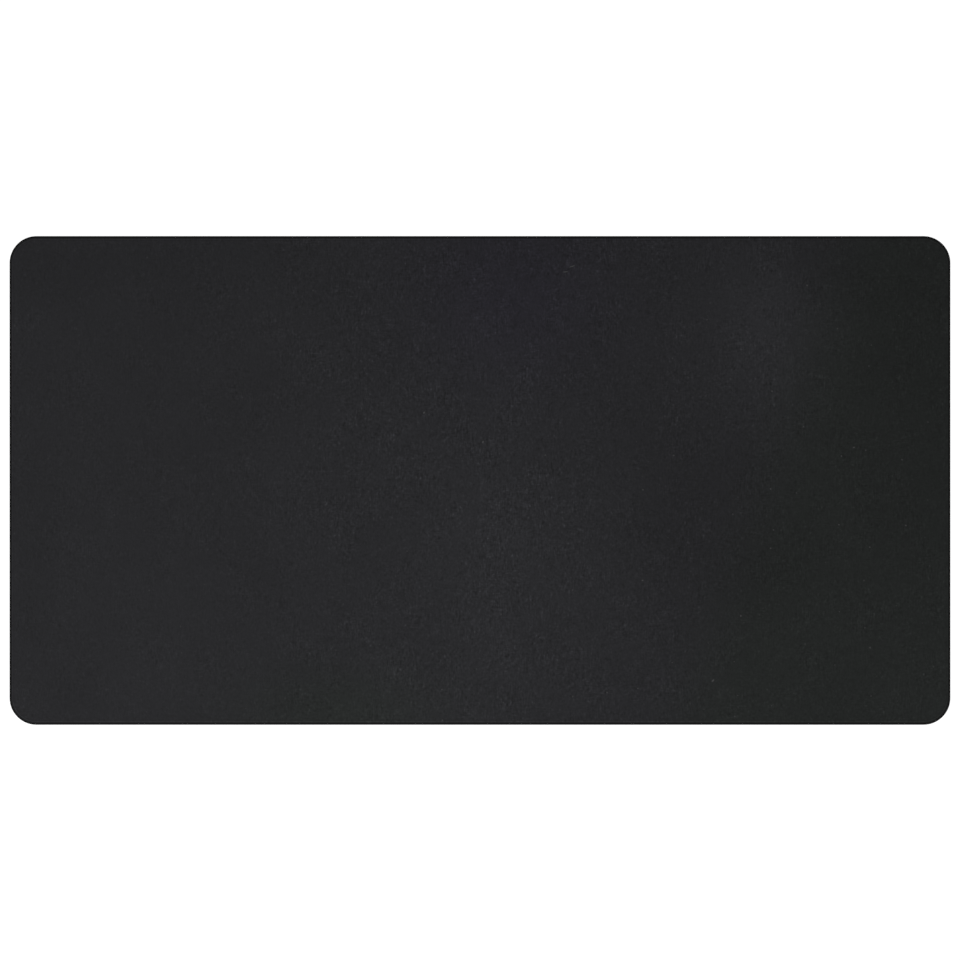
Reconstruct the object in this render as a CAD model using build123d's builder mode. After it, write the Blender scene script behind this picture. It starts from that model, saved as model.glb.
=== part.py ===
from build123d import *
import os

# A cloth-topped desk mat, lying flat. +X runs along its width and +Y along its depth, away
# from the person at the desk. The origin is the middle of the face that rests on the desk.
#
# The mat is cut in one stroke from a laminated roll, so its three layers share one outline:
# a foam rubber base that grips the desk, a thin film that bonds the cloth to it, and the
# woven top cloth.

os.makedirs("parts", exist_ok=True)

# Outline, in millimetres.
mat_width = 770.0
mat_depth = 400.0
corner_radius = 22.0

# Layers, from the desk up. The whole mat is 3 mm thick.
base_thickness = 2.4
film_thickness = 0.1
cloth_thickness = 0.5

# The cutting die drags the cloth's top edge down a little all the way round.
cut_edge_radius = 0.3

film_bottom = base_thickness
cloth_bottom = film_bottom + film_thickness

# Foam rubber base, flat underneath.
with BuildPart() as rubber_base:
    with BuildSketch(Plane.XY):
        RectangleRounded(mat_width, mat_depth, corner_radius)
    extrude(amount=base_thickness)
rubber_base.part.label = "rubber_base"
export_step(rubber_base.part, "parts/rubber_base.step")

# Bonding film, sealed between the base and the cloth and seen only at the cut edge.
with BuildPart() as bond_film:
    with BuildSketch(Plane.XY.offset(film_bottom)):
        RectangleRounded(mat_width, mat_depth, corner_radius)
    extrude(amount=film_thickness)
bond_film.part.label = "bond_film"
export_step(bond_film.part, "parts/bond_film.step")

# Top cloth, with its upper cut edge rounded over.
with BuildPart() as top_cloth:
    with BuildSketch(Plane.XY.offset(cloth_bottom)):
        RectangleRounded(mat_width, mat_depth, corner_radius)
    extrude(amount=cloth_thickness)
    top_face = top_cloth.faces().sort_by(Axis.Z)[-1]
    fillet(top_face.outer_wire().edges(), radius=cut_edge_radius)
top_cloth.part.label = "top_cloth"
export_step(top_cloth.part, "parts/top_cloth.step")
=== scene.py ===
import bpy
import math
import numpy as np
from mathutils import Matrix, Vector, noise


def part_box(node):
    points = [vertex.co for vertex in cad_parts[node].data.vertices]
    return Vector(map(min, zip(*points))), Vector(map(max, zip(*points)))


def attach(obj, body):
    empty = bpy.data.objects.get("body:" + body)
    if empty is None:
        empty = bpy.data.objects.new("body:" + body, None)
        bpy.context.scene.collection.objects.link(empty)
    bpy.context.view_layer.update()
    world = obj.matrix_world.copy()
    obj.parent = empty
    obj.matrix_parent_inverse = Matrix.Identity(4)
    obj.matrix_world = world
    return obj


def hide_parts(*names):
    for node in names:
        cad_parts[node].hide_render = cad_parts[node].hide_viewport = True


# Looks of a cloth-topped desk mat that lies flat. The CAD frame gives the outline and the
# three layers. This script weaves the cloth, rolls its cut edge over, and gives the foam
# rubber base its open cells and the wavy grip ribs on its underside.

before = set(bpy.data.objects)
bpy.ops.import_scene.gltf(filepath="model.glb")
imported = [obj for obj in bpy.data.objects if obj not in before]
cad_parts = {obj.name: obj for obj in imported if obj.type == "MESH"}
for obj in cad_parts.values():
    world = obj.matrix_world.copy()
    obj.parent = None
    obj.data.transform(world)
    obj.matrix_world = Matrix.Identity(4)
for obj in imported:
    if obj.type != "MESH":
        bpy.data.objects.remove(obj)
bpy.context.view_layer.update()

MM = 0.001

# Places read from the frame, in metres.
base_low, base_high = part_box("rubber_base")
cloth_low, cloth_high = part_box("top_cloth")
half_width = base_high.x
half_depth = base_high.y

# Mesh spacing: along the cloth's edge, along the base's wall, over the cloth's upper face, and
# over faces that nobody sees.
yarn_end_step = 0.6 * MM
wall_step = 1.2 * MM
field_step = 4.5 * MM
hidden_step = 9 * MM

# The cloth's cut edge, from the cut inwards: distance from the cut, and drop below the crest,
# both in millimetres. The die rolls the cloth over, crushes a narrow strip flat, and leaves a
# low bead inside the strip.
edge_profile = [
    (0.0, 0.44),
    (0.15, 0.41),
    (0.35, 0.36),
    (0.7, 0.28),
    (1.1, 0.18),
    (1.5, 0.12),
    (1.8, 0.1),
    (2.25, 0.1),
    (2.5, 0.06),
    (2.9, 0.01),
    (3.2, 0.0),
    (3.6, 0.02),
    (4.0, 0.03),
]
edge_ragged = 0.06 * MM
edge_ragged_reach = 0.3 * MM
edge_ragged_seed = 11

# The cloth's field, inside the bead, is a little uneven.
field_sag = 0.12 * MM
field_sag_size = 95 * MM
field_sag_start = 6.4 * MM

# The foam base: its cut wall draws in at mid height, and its underside is ribbed.
wall_draw_in = 0.14 * MM
wall_rings = 7
rib_pitch = 3.5 * MM
rib_land = 1.5 * MM
rib_flank = 0.5 * MM
rib_depth = 0.26 * MM
wave_length = 48 * MM
wave_height = 3.0 * MM
wave_steps = 10

# Edges sharper than these angles in degrees stay sharp when the pieces are shaded smooth.
cloth_crease = 50
base_crease = 25

# A face belongs to the cut wall if it is this close to the outline and this close to upright.
wall_reach = 0.5 * MM
wall_slope = 0.5

# The cloth's yarns. They stray by a share of their pitch, slowly over the wander size.
yarn_pitch = 0.42 * MM
yarn_wander = 0.8
yarn_wander_size = 20 * MM

# The cloth's grain: sizes along X, Y and Z of the mottle and of the slubs, thick places in the
# yarns, that run along X and along Y, and the strength of each.
mottle_size = (1.6 * MM, 2.1 * MM, 5 * MM)
slub_x_size = (4 * MM, 0.8 * MM, 5 * MM)
slub_y_size = (0.8 * MM, 5 * MM, 5 * MM)
mottle_strength = 0.305
slub_x_strength = 0.42
slub_y_strength = 0.45

# The cloth's colour carries a painted colour cast, bluish at the left and greenish at the right.
# It changes between two values of x in metres, which shift to the right with y by the slant. Here
# and there the cast has a patch of its own: x, y, half width and half depth in metres, and
# colour.
cloth_with_cast_left = (0.0154, 0.0155, 0.0174)
cloth_with_cast_right = (0.0138, 0.0157, 0.0149)
cloth_with_cast_violet = (0.0161, 0.0151, 0.0205)
cast_change_start = 0.19
cast_change_end = 0.28
cast_change_slant = 0.35
cast_patches = [
    (0.030, 0.155, 0.080, 0.070, cloth_with_cast_violet),
    (-0.118, -0.190, 0.080, 0.035, cloth_with_cast_right),
]

# How light the cloth's colour is near its cut edge, from the cut inwards: distance from the cut
# in millimetres, and tone. The crushed strip is dark, partly from its crushed yarns and partly as
# painted shade. The band from 2.45 to 2.9 mm is a painted highlight on the bead, and the darker
# band just inside it is painted shade.
rim_tones_with_painted_light = [
    (0.3, 0.06),
    (1.3, 0.11),
    (1.6, 0.58),
    (2.25, 0.58),
    (2.45, 1.38),
    (2.9, 1.38),
    (3.1, 0.8),
    (3.4, 0.8),
    (4.0, 1.0),
]

# The base's cut wall and its cells, the base's underside, and the bonding film.
foam_colour = (0.016, 0.016, 0.017)
foam_cell = 0.28 * MM
rubber_colour = (0.020, 0.020, 0.021)
film_colour = (0.030, 0.030, 0.032)

# Specks of lint: about how far apart they are, and their least and greatest radius as a share of
# that. The colour is that of all the lint.
speck_spacing = 27 * MM
speck_least = 0.014
speck_greatest = 0.026
lint_colour = (0.050, 0.050, 0.051)

# Stray lint on the cloth: x and y of the middle, length and width, all in metres, and tilt in
# degrees. The first two are hairs near the far edge, and the others are crumbs.
stray_lint = [
    (0.0754, 0.1752, 0.0062, 0.0011, 18),
    (0.0700, 0.1707, 0.0056, 0.0011, 4),
    (0.1907, -0.1638, 0.0034, 0.0019, 45),
    (0.0025, 0.0315, 0.0026, 0.0019, 60),
    (-0.0457, 0.0555, 0.0026, 0.0018, 50),
    (0.3060, 0.0270, 0.0024, 0.0014, 10),
]

# Soft lighter and darker patches of painted sheen and shade, as light falls on a slightly uneven
# surface: x, y, half width and half depth in metres, and strength.
painted_sheen_patches = [
    (0.010, -0.070, 0.075, 0.150, 0.28),
    (-0.120, -0.020, 0.060, 0.150, 0.10),
    (-0.240, -0.130, 0.060, 0.060, 0.07),
    (-0.070, -0.185, 0.060, 0.040, 0.14),
    (0.232, 0.125, 0.045, 0.065, 0.36),
    (0.120, -0.110, 0.060, 0.080, 0.10),
    (0.210, -0.050, 0.090, 0.070, -0.14),
    (0.380, 0.080, 0.085, 0.150, -0.23),
    (-0.320, 0.190, 0.140, 0.040, -0.10),
    (0.035, 0.190, 0.090, 0.040, -0.10),
    (-0.370, -0.060, 0.040, 0.120, -0.06),
    (0.330, 0.185, 0.090, 0.050, -0.12),
]


def read_corner_radius():
    """How far short of the mat's side the straight back edge of the base stops."""
    points = [v.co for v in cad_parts["rubber_base"].data.vertices]
    straight = max(p.x for p in points if half_depth - p.y < 0.01 * MM)
    return half_width - straight


corner = read_corner_radius()


def outline_points(step):
    """Points about step apart round the outline, anticlockwise, and the outward way at each."""
    centre_x = half_width - corner
    centre_y = half_depth - corner
    arc_steps = round(math.pi / 2 * corner / step)
    points = []
    outward = []
    for quarter, (side_x, side_y) in enumerate(((1, 1), (-1, 1), (-1, -1), (1, -1))):
        centre = np.array([side_x * centre_x, side_y * centre_y])
        for i in range(arc_steps + 1):
            angle = (quarter + i / arc_steps) * math.pi / 2
            outward.append(np.array([math.cos(angle), math.sin(angle)]))
            points.append(centre + corner * outward[-1])
        run = 2 * (centre_x if quarter % 2 == 0 else centre_y)
        ahead = np.array([-outward[-1][1], outward[-1][0]])
        run_start = points[-1]
        run_steps = round(run / step)
        for i in range(1, run_steps):
            outward.append(outward[-1])
            points.append(run_start + ahead * run * i / run_steps)
    return np.array(points), np.array(outward)


class MeshParts:
    """Points and faces of one closed piece, gathered ring by ring."""

    def __init__(self):
        self.points = []
        self.faces = []

    def ring(self, flat, heights):
        """Adds a row or ring of points and returns their numbers."""
        first = len(self.points)
        heights = np.broadcast_to(heights, len(flat))
        self.points += [(x, y, z) for (x, y), z in zip(flat, heights)]
        return list(range(first, len(self.points)))

    def wall(self, lower, upper):
        """Quads between two rings with the same number of points."""
        for i in range(len(lower)):
            j = (i + 1) % len(lower)
            self.faces.append((lower[i], lower[j], upper[j], upper[i]))

    def bridge(self, outer, inner):
        """Triangles between two rings with different numbers of points."""
        where = np.array(self.points)
        gaps = np.linalg.norm(where[inner] - where[outer[0]], axis=1)
        start = int(np.argmin(gaps))
        inner = inner[start:] + inner[:start]
        outer = outer + outer[:1]
        inner = inner + inner[:1]
        i = j = 0
        while i < len(outer) - 1 or j < len(inner) - 1:
            step_out = step_in = math.inf
            if i < len(outer) - 1:
                step_out = np.linalg.norm(where[outer[i + 1]] - where[inner[j]])
            if j < len(inner) - 1:
                step_in = np.linalg.norm(where[outer[i]] - where[inner[j + 1]])
            if step_out <= step_in:
                self.faces.append((outer[i], outer[i + 1], inner[j]))
                i += 1
            else:
                self.faces.append((outer[i], inner[j + 1], inner[j]))
                j += 1

    def grid(self, number):
        """Quads over a grid of point numbers. Returns the ring of numbers round its border."""
        for low, high in zip(number, number[1:]):
            for i in range(len(low) - 1):
                self.faces.append((low[i], low[i + 1], high[i + 1], high[i]))
        right = number[:-1, -1]
        back = number[-1, :0:-1]
        left = number[:0:-1, 0]
        front = number[0, :-1]
        return [int(n) for n in np.concatenate([right, back, left, front])]

    def field(self, inset, step, height_at):
        """A grid that fills the outline drawn in by inset. Returns its border ring."""
        reach_x = half_width - inset
        reach_y = half_depth - inset
        radius = corner - inset
        xs = np.linspace(-reach_x, reach_x, round(2 * reach_x / step) + 1)
        ys = np.linspace(-reach_y, reach_y, round(2 * reach_y / step) + 1)
        first = len(self.points)
        for y in ys:
            for x in xs:
                px, py = into_corner(x, y, reach_x - radius, reach_y - radius)
                self.points.append((px, py, height_at(px, py)))
        return self.grid(np.arange(first, len(self.points)).reshape(len(ys), len(xs)))

    def build(self, name):
        """The piece as an object, with every face turned outwards."""
        mesh = bpy.data.meshes.new(name)
        mesh.from_pydata(self.points, [], [tuple(int(n) for n in f) for f in self.faces])
        piece = bpy.data.objects.new(name, mesh)
        bpy.context.scene.collection.objects.link(piece)
        bpy.context.view_layer.objects.active = piece
        piece.select_set(True)
        bpy.ops.object.mode_set(mode="EDIT")
        bpy.ops.mesh.select_all(action="SELECT")
        bpy.ops.mesh.normals_make_consistent(inside=False)
        bpy.ops.object.mode_set(mode="OBJECT")
        piece.select_set(False)
        return piece


def into_corner(x, y, start_x, start_y):
    """Moves a point of a square corner into the round one that shares its two sides."""
    u = abs(x) - start_x
    v = abs(y) - start_y
    if u <= 0 or v <= 0:
        return x, y
    pull = max(u, v) / math.hypot(u, v)
    return math.copysign(start_x + u * pull, x), math.copysign(start_y + v * pull, y)


def inset_at(x, y):
    """Distance in from the mat's outline."""
    u = abs(x) - (half_width - corner)
    v = abs(y) - (half_depth - corner)
    outside = math.hypot(max(u, 0), max(v, 0))
    return corner - outside - min(max(u, v), 0)


def cloth_height(x, y):
    """The cloth's upper face: pressed down at the cut edge, and a little uneven inside it."""
    inset = max(inset_at(x, y), 0)
    drop = np.interp(inset / MM, *zip(*edge_profile)) * MM
    uneven = 0.5 + 0.5 * noise.noise(Vector((x, y, 0)) / field_sag_size)
    inland = 1 - math.exp(-inset / field_sag_start)
    return cloth_high.z - drop - field_sag * uneven * inland


def smooth(piece, sharp_over):
    """Smooth shading that keeps edges sharper than an angle in degrees."""
    piece.data.shade_smooth()
    piece.data.set_sharp_from_angle(angle=math.radians(sharp_over))


def make_cloth():
    """The top cloth: one closed sheet with a rolled, slightly ragged cut edge."""
    edge, outward = outline_points(yarn_end_step)
    rough = np.random.default_rng(edge_ragged_seed).random(len(edge))[:, None] * edge_ragged
    parts = MeshParts()
    under = parts.ring(edge - outward * rough, cloth_low.z)
    rings = []
    for distance, _ in edge_profile:
        inset = distance * MM
        keep = rough * math.exp(-inset / edge_ragged_reach)
        flat = edge - outward * (inset + keep)
        heights = [cloth_height(x, y) for x, y in flat]
        rings.append(parts.ring(flat, heights))
    parts.wall(under, rings[0])
    for lower, upper in zip(rings, rings[1:]):
        parts.wall(lower, upper)
    field_inset = edge_profile[-1][0] * MM + field_step
    parts.bridge(rings[-1], parts.field(field_inset, field_step, cloth_height))
    parts.bridge(under, parts.field(field_inset, hidden_step, lambda x, y: cloth_low.z))
    cloth = parts.build("woven_cloth")
    smooth(cloth, cloth_crease)
    return cloth


def make_blank():
    """The base as the die cuts it, before its underside is ribbed. It reaches below the ribs."""
    edge, outward = outline_points(wall_step)
    parts = MeshParts()
    thickness = base_high.z - base_low.z
    lowest = parts.ring(edge, base_low.z - rib_depth)
    rings = [lowest]
    for level in np.linspace(0, 1, wall_rings):
        drawn = outward * wall_draw_in * math.sin(math.pi * level)
        rings.append(parts.ring(edge - drawn, base_low.z + thickness * level))
    for lower, upper in zip(rings, rings[1:]):
        parts.wall(lower, upper)
    parts.bridge(rings[-1], parts.field(field_step, hidden_step, lambda x, y: base_high.z))
    parts.faces.append(tuple(lowest))
    return parts.build("foam_rubber_base")


def make_ribbed_block():
    """A block wider than the mat whose lower face is wavy ribs, for cutting the base from."""
    offsets = np.array([0, rib_land, rib_land + rib_flank, rib_pitch - rib_flank])
    heights = np.array([0, 0, rib_depth, rib_depth]) + base_low.z
    ribs = math.ceil((half_width + wave_height) / rib_pitch) + 1
    columns = (np.arange(-ribs, ribs)[:, None] * rib_pitch + offsets).ravel()
    depths = np.tile(heights, 2 * ribs)
    row_step = wave_length / wave_steps
    rows = math.ceil(half_depth / row_step) + 1
    ys = np.arange(-rows, rows + 1) * row_step
    sway = wave_height * np.sin(2 * math.pi * ys / wave_length)
    parts = MeshParts()
    number = np.array([
        parts.ring(np.column_stack([columns + s, np.full(len(columns), y)]), depths)
        for y, s in zip(ys, sway)
    ])
    border = parts.grid(number)
    flat = [parts.points[n][:2] for n in border]
    raised = parts.ring(flat, 2 * base_high.z)
    parts.wall(border, raised)
    parts.faces.append(tuple(raised))
    return parts.build("rib_block")


def make_base():
    """The foam rubber base: what the cut blank and the ribbed block have in common."""
    base = make_blank()
    block = make_ribbed_block()
    cut = base.modifiers.new("ribs", "BOOLEAN")
    cut.operation = "INTERSECT"
    cut.solver = "MANIFOLD"
    cut.object = block
    ready = base.evaluated_get(bpy.context.evaluated_depsgraph_get())
    mesh = bpy.data.meshes.new_from_object(ready)
    base.modifiers.clear()
    base.data = mesh
    bpy.data.objects.remove(block)
    smooth(base, base_crease)
    return base


class Look:
    """One material's nodes, with short calls for the few kinds used here."""

    def __init__(self, name):
        self.material = bpy.data.materials.new(name)
        self.material.use_nodes = True
        self.tree = self.material.node_tree
        self.shader = self.tree.nodes["Principled BSDF"]
        self.place = self.add("ShaderNodeTexCoord").outputs["Object"]
        split = self.add("ShaderNodeSeparateXYZ")
        self.feed(split.inputs[0], self.place)
        self.place_x, self.place_y, self.place_z = split.outputs

    def add(self, kind, **settings):
        """A new node of this kind with these settings."""
        node = self.tree.nodes.new(kind)
        for name, value in settings.items():
            setattr(node, name, value)
        return node

    def feed(self, socket, value):
        """Links value into the socket if it is a socket itself, and otherwise sets it."""
        if isinstance(value, bpy.types.NodeSocket):
            self.tree.links.new(value, socket)
        else:
            socket.default_value = value

    def math(self, operation, first, second=0.0):
        """One operation on two numbers."""
        node = self.add("ShaderNodeMath", operation=operation)
        self.feed(node.inputs[0], first)
        self.feed(node.inputs[1], second)
        return node.outputs[0]

    def vector(self, operation, first, second=(0, 0, 0)):
        """One operation on two vectors. LENGTH gives a number and uses only the first."""
        node = self.add("ShaderNodeVectorMath", operation=operation)
        self.feed(node.inputs[0], first)
        self.feed(node.inputs[1], second)
        return node.outputs["Value" if operation == "LENGTH" else "Vector"]

    def remap(self, value, low, high, to_low=0.0, to_high=1.0):
        """A smooth ramp from to_low to to_high as value goes from low to high."""
        node = self.add("ShaderNodeMapRange", interpolation_type="SMOOTHSTEP")
        for name, number in zip(
            ("Value", "From Min", "From Max", "To Min", "To Max"),
            (value, low, high, to_low, to_high),
        ):
            self.feed(node.inputs[name], number)
        return node.outputs["Result"]

    def through(self, value, stops):
        """A smooth curve through stops, each a length in millimetres and the result there."""
        result = stops[0][1]
        for (low, before), (high, after) in zip(stops, stops[1:]):
            step = self.remap(value, low * MM, high * MM, 0.0, after - before)
            result = self.math("ADD", result, step)
        return result

    def noise(self, sizes, detail=0.0):
        """Smooth noise from about -1 to 1, with features of these sizes along X, Y and Z."""
        node = self.add("ShaderNodeTexNoise")
        self.feed(node.inputs["Vector"], self.vector("DIVIDE", self.place, sizes))
        self.feed(node.inputs["Scale"], 1.0)
        self.feed(node.inputs["Detail"], detail)
        centred = self.math("SUBTRACT", node.outputs["Fac"], 0.5)
        return self.math("MULTIPLY", centred, 2.0)

    def total(self, *values):
        """The sum of several values."""
        result = values[0]
        for value in values[1:]:
            result = self.math("ADD", result, value)
        return result

    def scaled(self, value, amount):
        """value times amount."""
        return self.math("MULTIPLY", value, amount)

    def bump(self, height, depth):
        """Tilts the surface by a height from 0 to 1, which stands for depth metres."""
        node = self.add("ShaderNodeBump")
        self.feed(node.inputs["Strength"], 1.0)
        self.feed(node.inputs["Distance"], depth)
        self.feed(node.inputs["Height"], height)
        self.tree.links.new(node.outputs["Normal"], self.shader.inputs["Normal"])

    def tint(self, colour, tone):
        """colour times tone."""
        node = self.add("ShaderNodeVectorMath", operation="SCALE")
        self.feed(node.inputs[0], colour)
        self.feed(node.inputs["Scale"], tone)
        return node.outputs["Vector"]

    def mixed(self, share, first, second):
        """first where share is 0, second where it is 1. Both are colours."""
        node = self.add("ShaderNodeMix", data_type="RGBA")
        self.feed(node.inputs["Factor"], share)
        for name, colour in (("A", first), ("B", second)):
            self.feed(node.inputs[name], (*colour, 1.0) if isinstance(colour, tuple) else colour)
        return node.outputs["Result"]

    def set(self, **values):
        """Sets the shader's own plain values, such as Sheen_Weight."""
        for name, value in values.items():
            self.shader.inputs[name.replace("_", " ")].default_value = value


def yarn_top(look, across, along):
    """The rounded top of one yarn: it falls away across the yarn, and dips at its ends."""
    return look.math("MULTIPLY", look.math("POWER", across, 0.8), look.math("POWER", along, 0.25))


def yarn_crowns(look):
    """1 on the crown of a yarn and 0 in the gaps. The yarn on top runs along X and Y by turns."""
    wander = look.add("ShaderNodeTexNoise")
    look.feed(wander.inputs["Vector"], look.vector("DIVIDE", look.place, (yarn_wander_size,) * 3))
    look.feed(wander.inputs["Scale"], 1.0)
    shift = look.vector("MULTIPLY", wander.outputs["Color"], (yarn_wander,) * 3)
    count = look.vector("ADD", look.vector("DIVIDE", look.place, (yarn_pitch,) * 3), shift)
    split = look.add("ShaderNodeSeparateXYZ")
    look.feed(split.inputs[0], count)
    wave_x = look.math("SINE", look.scaled(split.outputs["X"], math.pi))
    wave_y = look.math("SINE", look.scaled(split.outputs["Y"], math.pi))
    round_x = look.math("ABSOLUTE", wave_x)
    round_y = look.math("ABSOLUTE", wave_y)
    turn = look.math("GREATER_THAN", look.math("MULTIPLY", wave_x, wave_y), 0.0)
    mix = look.add("ShaderNodeMix", data_type="FLOAT")
    look.feed(mix.inputs["Factor"], turn)
    look.feed(mix.inputs["A"], yarn_top(look, across=round_y, along=round_x))
    look.feed(mix.inputs["B"], yarn_top(look, across=round_x, along=round_y))
    return mix.outputs["Result"]


def soft_patch(look, x, y, half_x, half_y):
    """1 in the middle of a soft oval and 0 well outside it."""
    away = look.vector("SUBTRACT", look.place, (x, y, cloth_high.z))
    share = look.vector("LENGTH", look.vector("DIVIDE", away, (half_x, half_y, 1)))
    return look.math("EXPONENT", look.scaled(look.math("POWER", share, 2.0), -1.0))


def painted_sheen_tone(look):
    """The sum of the soft patches of painted sheen and shade."""
    tones = [look.scaled(soft_patch(look, *place), strength) for *place, strength in painted_sheen_patches]
    return look.total(*tones)


def inset_value(look):
    """Distance in from the mat's outline, in metres."""
    flat = look.vector("MULTIPLY", look.place, (1, 1, 0))
    reach = (half_width - corner, half_depth - corner, 0)
    past = look.vector("SUBTRACT", look.vector("ABSOLUTE", flat), reach)
    outside = look.vector("LENGTH", look.vector("MAXIMUM", past, (0, 0, 0)))
    split = look.add("ShaderNodeSeparateXYZ")
    look.feed(split.inputs[0], past)
    inside = look.math("MAXIMUM", split.outputs["X"], split.outputs["Y"])
    inside = look.math("MINIMUM", inside, 0.0)
    return look.math("SUBTRACT", look.math("SUBTRACT", corner, outside), inside)


def speck_mask(look):
    """Sparse pale specks of lint, each a millimetre or so across, and most of them faint. They
    show more towards the front right corner. A little noise bends their outlines."""
    bend = look.add("ShaderNodeTexNoise")
    look.feed(bend.inputs["Vector"], look.vector("DIVIDE", look.place, (MM,) * 3))
    look.feed(bend.inputs["Scale"], 1.0)
    nudge = look.vector("MULTIPLY", bend.outputs["Color"], (MM, MM, 0))
    bent = look.vector("ADD", look.place, nudge)
    specks = look.add("ShaderNodeTexVoronoi", voronoi_dimensions="2D")
    look.feed(specks.inputs["Vector"], look.vector("DIVIDE", bent, (speck_spacing,) * 3))
    look.feed(specks.inputs["Scale"], 1.0)
    split = look.add("ShaderNodeSeparateColor")
    look.feed(split.inputs[0], specks.outputs["Color"])
    size = look.remap(split.outputs["Green"], 0.0, 1.0, speck_least, speck_greatest)
    near = look.math("LESS_THAN", specks.outputs["Distance"], size)
    faint = look.math("POWER", split.outputs["Red"], 2.0)
    corner_side = look.math("SUBTRACT", look.place_x, look.place_y)
    gathered = look.remap(corner_side, -0.15, 0.3, 0.4, 1.15)
    return look.math("MULTIPLY", near, look.math("MULTIPLY", faint, gathered))


def stray_mask(look, x, y, length, width, tilt):
    """One stray hair or crumb, soft at its edges."""
    node = look.add("ShaderNodeMapping", vector_type="TEXTURE")
    look.feed(node.inputs["Vector"], look.place)
    node.inputs["Location"].default_value = (x, y, cloth_high.z)
    node.inputs["Rotation"].default_value = (0, 0, math.radians(tilt))
    node.inputs["Scale"].default_value = (length / 2, width / 2, 1)
    reach = look.vector("LENGTH", node.outputs["Vector"])
    return look.remap(reach, 0.5, 1.0, 1.0, 0.0)


def lint_mask(look):
    """All the lint: specks, and the stray hairs and crumbs."""
    mask = speck_mask(look)
    for stray in stray_lint:
        mask = look.math("MAXIMUM", mask, stray_mask(look, *stray))
    return mask


def grain_tone(look, mottle):
    """The cloth's fine mottle and its slubs, livelier in some places than in others."""
    knots = look.scaled(look.math("POWER", mottle, 3.0), 2.2)
    slub_x = look.noise(slub_x_size)
    slub_y = look.noise(slub_y_size)
    busy_x = look.remap(look.noise((14 * MM, 14 * MM, 5 * MM)), -0.4, 0.4, 0.0, 0.8)
    busy_y = look.remap(look.noise((18 * MM, 18 * MM, 5 * MM)), -0.4, 0.4, 0.1, 0.9)
    lively = look.remap(look.noise((26 * MM, 26 * MM, 5 * MM), detail=2.0), -0.5, 0.5, 0.6, 1.4)
    left_part = look.remap(look.place_x, -0.26, -0.08, 0.58, 1.0)
    right_part = look.remap(look.place_x, 0.08, 0.22, 1.0, 0.86)
    grain = look.total(look.scaled(look.math("ADD", mottle, knots), mottle_strength),
                       look.math("MULTIPLY", look.scaled(slub_x, slub_x_strength), busy_x),
                       look.math("MULTIPLY", look.scaled(slub_y, slub_y_strength), busy_y))
    strength = look.math("MULTIPLY", lively, look.math("MULTIPLY", left_part, right_part))
    return look.math("MULTIPLY", grain, strength)


def cloth_colour_with_cast(look):
    """The cloth's colour with its painted colour cast, from left to right and in its patches."""
    across = look.math("SUBTRACT", look.place_x, look.scaled(look.place_y, cast_change_slant))
    cast_colour = look.mixed(look.remap(across, cast_change_start, cast_change_end), cloth_with_cast_left, cloth_with_cast_right)
    for *place, colour in cast_patches:
        cast_colour = look.mixed(soft_patch(look, *place), cast_colour, colour)
    return cast_colour


def cloth_look():
    """Near-black woven polyester: fine yarns with painted shade in their gaps, a mottled nap with
    soft patches of painted sheen and shade, a painted colour cast, a little lint, and a dark cut
    rim that is partly painted shade, with a painted highlight on its bead.
    """
    look = Look("woven_polyester")
    crown = yarn_crowns(look)
    mottle = look.noise(mottle_size)
    grain = grain_tone(look, mottle)
    cloud = look.noise((70 * MM, 70 * MM, 70 * MM), detail=3.0)
    # The crown term lightens the yarn tops and darkens the gaps between them as painted shade,
    # and the soft patches are painted sheen and shade.
    tone_with_painted_light = look.total(0.84, look.scaled(crown, 0.30), look.scaled(cloud, 0.14), painted_sheen_tone(look))
    tone = look.math("MULTIPLY", tone_with_painted_light, look.math("EXPONENT", grain))
    # Painted shade on the crushed strip and a painted highlight on the bead, multiplied into the
    # colour.
    rim_with_painted_light = look.through(inset_value(look), rim_tones_with_painted_light)
    painted_cloth_colour = look.tint(cloth_colour_with_cast(look), look.math("MULTIPLY", tone, rim_with_painted_light))
    look.feed(look.shader.inputs["Base Color"], look.mixed(lint_mask(look), painted_cloth_colour, lint_colour))
    rough = look.total(0.86, look.scaled(grain, 0.10), look.scaled(crown, 0.06))
    look.feed(look.shader.inputs["Roughness"], rough)
    look.bump(look.total(crown, look.scaled(mottle, 1.6)), 0.07 * MM)
    look.set(Specular_IOR_Level=0.12, Diffuse_Roughness=1.0)
    look.set(Sheen_Weight=0.12, Sheen_Roughness=0.45)
    return look.material


def cut_cloth_look():
    """The cut side of the cloth: yarn ends, darker than the face."""
    look = Look("cut_yarn_ends")
    ends = look.noise((0.35 * MM, 0.35 * MM, 0.2 * MM), detail=1.0)
    look.feed(look.shader.inputs["Base Color"],
              look.tint(cloth_with_cast_left, look.total(0.55, look.scaled(ends, 0.6))))
    look.feed(look.shader.inputs["Roughness"], look.total(0.9, look.scaled(ends, 0.08)))
    look.bump(ends, 0.08 * MM)
    look.set(Specular_IOR_Level=0.15)
    return look.material


def foam_wall_look():
    """The cut wall of the base: closed cells sliced open, their hollows darkened as painted
    shade.
    """
    look = Look("cut_foam_rubber")
    cells = look.add("ShaderNodeTexVoronoi")
    look.feed(cells.inputs["Vector"], look.vector("DIVIDE", look.place, (foam_cell,) * 3))
    look.feed(cells.inputs["Scale"], 1.0)
    pore = look.remap(cells.outputs["Distance"], 0.15, 0.55)
    drift = look.noise((6 * MM, 6 * MM, 1 * MM), detail=2.0)
    # The cells' darker middles are painted shade in their hollows.
    tone = look.total(look.scaled(pore, 0.6), look.scaled(drift, 0.25), 0.55)
    look.feed(look.shader.inputs["Base Color"], look.tint(foam_colour, tone))
    look.feed(look.shader.inputs["Roughness"], look.total(0.78, look.scaled(pore, 0.12)))
    look.bump(pore, 0.12 * MM)
    look.set(Specular_IOR_Level=0.25)
    return look.material


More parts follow.
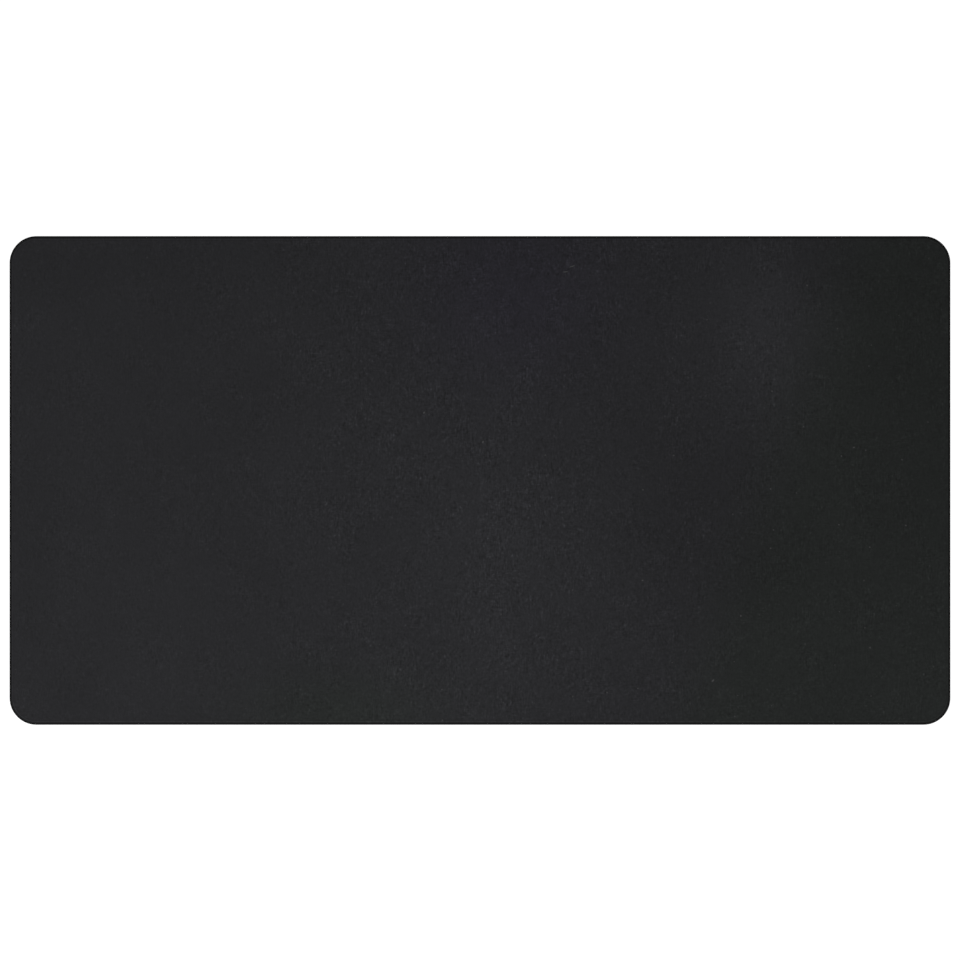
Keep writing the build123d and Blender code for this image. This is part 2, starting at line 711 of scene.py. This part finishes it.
def rubber_look():
    """The moulded underside: fine pebbled rubber with a faint dusty bloom on its lands."""
    look = Look("moulded_rubber")
    pebble = look.noise((0.5 * MM, 0.5 * MM, 0.5 * MM), detail=2.0)
    bloom = look.noise((45 * MM, 45 * MM, 45 * MM), detail=3.0)
    scuff = look.noise((9 * MM, 2.2 * MM, 5 * MM), detail=2.0)
    land = look.remap(look.place_z, 0.0, rib_depth, 0.10, 0.0)
    tone = look.total(
        look.scaled(pebble, 0.22), look.scaled(bloom, 0.35), look.scaled(scuff, 0.18), land, 1.0
    )
    look.feed(look.shader.inputs["Base Color"], look.tint(rubber_colour, tone))
    rough = look.total(0.62, look.scaled(bloom, 0.14), look.scaled(pebble, 0.08))
    look.feed(look.shader.inputs["Roughness"], rough)
    look.bump(pebble, 0.05 * MM)
    look.set(Specular_IOR_Level=0.35)
    return look.material


def film_look():
    """The bonding film: a thin dark satin line, smeared a little by the die."""
    look = Look("bonding_film")
    smear = look.noise((1.6 * MM, 1.6 * MM, 0.3 * MM), detail=2.0)
    tone = look.total(1.0, look.scaled(smear, 0.45))
    look.feed(look.shader.inputs["Base Color"], look.tint(film_colour, tone))
    look.feed(look.shader.inputs["Roughness"], look.total(0.5, look.scaled(smear, 0.2)))
    look.bump(smear, 0.03 * MM)
    look.set(Specular_IOR_Level=0.3)
    return look.material


def paint_by_wall(piece, face_look, wall_look):
    """Gives a piece one look on its upper and lower faces and another on its cut wall."""
    piece.data.materials.clear()
    piece.data.materials.append(face_look)
    piece.data.materials.append(wall_look)
    for face in piece.data.polygons:
        upright = abs(face.normal.z) < wall_slope
        at_edge = inset_at(face.center.x, face.center.y) < wall_reach
        face.material_index = 1 if upright and at_edge else 0


def make_stage(glow):
    """A white light table, far wider than any view. Its glow washes out the mat's shadow."""
    bpy.ops.mesh.primitive_plane_add(size=24, location=(0, 0, base_low.z))
    floor = bpy.context.object
    floor.name = "floor"
    look = Look("light_table")
    look.set(Base_Color=(0.12, 0.12, 0.12, 1), Roughness=0.9, Specular_IOR_Level=0.0)
    look.set(Emission_Color=(1, 1, 1, 1), Emission_Strength=glow)
    floor.data.materials.append(look.material)


def make_light(name, azimuth, elevation, distance, size, watts):
    """A square soft light that faces the mat. Azimuth 0 is at the front and 90 at the right."""
    data = bpy.data.lights.new(name, "AREA")
    data.shape = "SQUARE"
    data.size = size
    data.energy = watts
    light = bpy.data.objects.new(name, data)
    turn = math.radians(azimuth)
    rise = math.radians(elevation)
    way = Vector((math.sin(turn) * math.cos(rise), -math.cos(turn) * math.cos(rise),
                  math.sin(rise)))
    light.location = way * distance
    light.rotation_mode = "QUATERNION"
    light.rotation_quaternion = way.to_track_quat("Z", "Y")
    bpy.context.scene.collection.objects.link(light)


def make_world(ambient, seen_by_camera):
    """White all round, with one strength for lighting the mat and another for the camera."""
    world = bpy.data.worlds.new("white_room")
    world.use_nodes = True
    nodes = world.node_tree.nodes
    links = world.node_tree.links
    path = nodes.new("ShaderNodeLightPath")
    strength = nodes.new("ShaderNodeMapRange")
    strength.inputs["To Min"].default_value = ambient
    strength.inputs["To Max"].default_value = seen_by_camera
    links.new(path.outputs["Is Camera Ray"], strength.inputs["Value"])
    background = nodes["Background"]
    background.inputs["Color"].default_value = (1, 1, 1, 1)
    links.new(strength.outputs["Result"], background.inputs["Strength"])
    bpy.context.scene.world = world


def make_camera(lens, share_of_picture, left_of_centre, below_centre):
    """Looks straight down. The mat's width fills share_of_picture of the picture's. Its middle
    sits to the left of the picture's middle and below it by these shares of a picture's width."""
    data = bpy.data.cameras.new("camera")
    data.lens = lens
    data.sensor_width = 36.0
    picture_width = 2 * half_width / share_of_picture
    camera = bpy.data.objects.new("camera", data)
    height = picture_width * data.lens / data.sensor_width
    aside = left_of_centre * picture_width
    camera.location = (aside, below_centre * picture_width, cloth_high.z + height)
    bpy.context.scene.collection.objects.link(camera)
    bpy.context.scene.camera = camera


make_camera(lens=100.0, share_of_picture=0.9802, left_of_centre=0.00005, below_centre=0.00047)
make_stage(glow=1.0)
make_world(ambient=0.5, seen_by_camera=1.05)
make_light("key", azimuth=-38, elevation=36, distance=2.3, size=1.1, watts=62)
bpy.context.scene.view_settings.view_transform = "Standard"

cloth = make_cloth()
paint_by_wall(cloth, cloth_look(), cut_cloth_look())
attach(cloth, "root")
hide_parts("top_cloth")

base = make_base()
paint_by_wall(base, rubber_look(), foam_wall_look())
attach(base, "root")
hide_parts("rubber_base")

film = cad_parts["bond_film"]
film.data.materials.clear()
film.data.materials.append(film_look())
